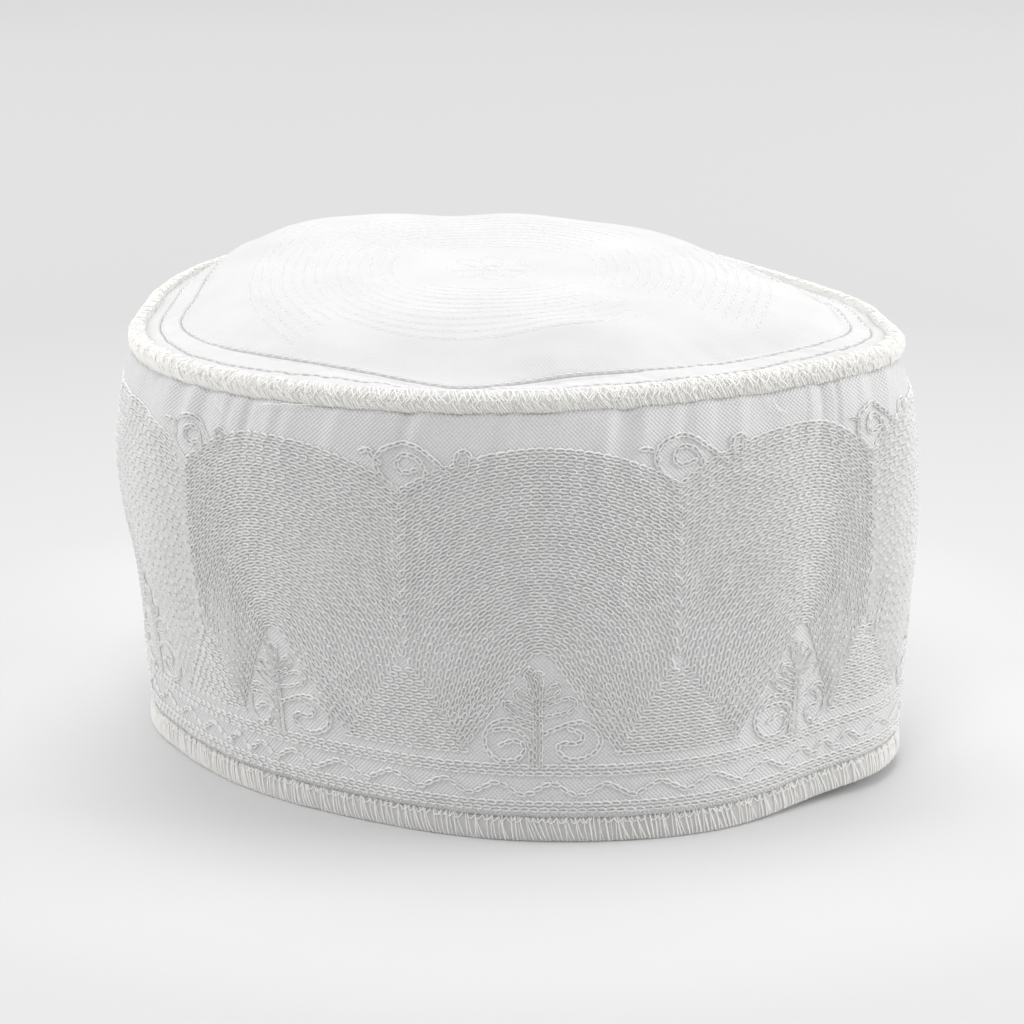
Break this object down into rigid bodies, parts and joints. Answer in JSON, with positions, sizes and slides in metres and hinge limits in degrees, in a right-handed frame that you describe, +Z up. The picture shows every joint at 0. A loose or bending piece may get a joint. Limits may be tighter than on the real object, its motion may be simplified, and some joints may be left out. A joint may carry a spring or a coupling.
{
  "type": "embroidered cotton kofia cap",
  "caption": "Brimless round cotton cap with an upright embroidered side band, a soft domed crown and overlocked edges, hollow for the head.",
  "frame": {"origin": "on the table, under the middle of the cap's outline", "axes": "+Z up, +X along the cap's longer way, -Y towards the middle arch of the embroidery"},
  "size_m": [0.1982, 0.171, 0.1232],
  "materials": {
    "cotton_cloth": "white plain-woven cotton with white chain stitch",
    "overlock_thread": "dense white overlock stitches over folded cotton"
  },
  "bodies": {
    "root": {"side_band": "cotton_cloth", "crown_top": "cotton_cloth", "rim_seam": "overlock_thread", "hem_edge": "overlock_thread"}
  },
  "joints": []
}
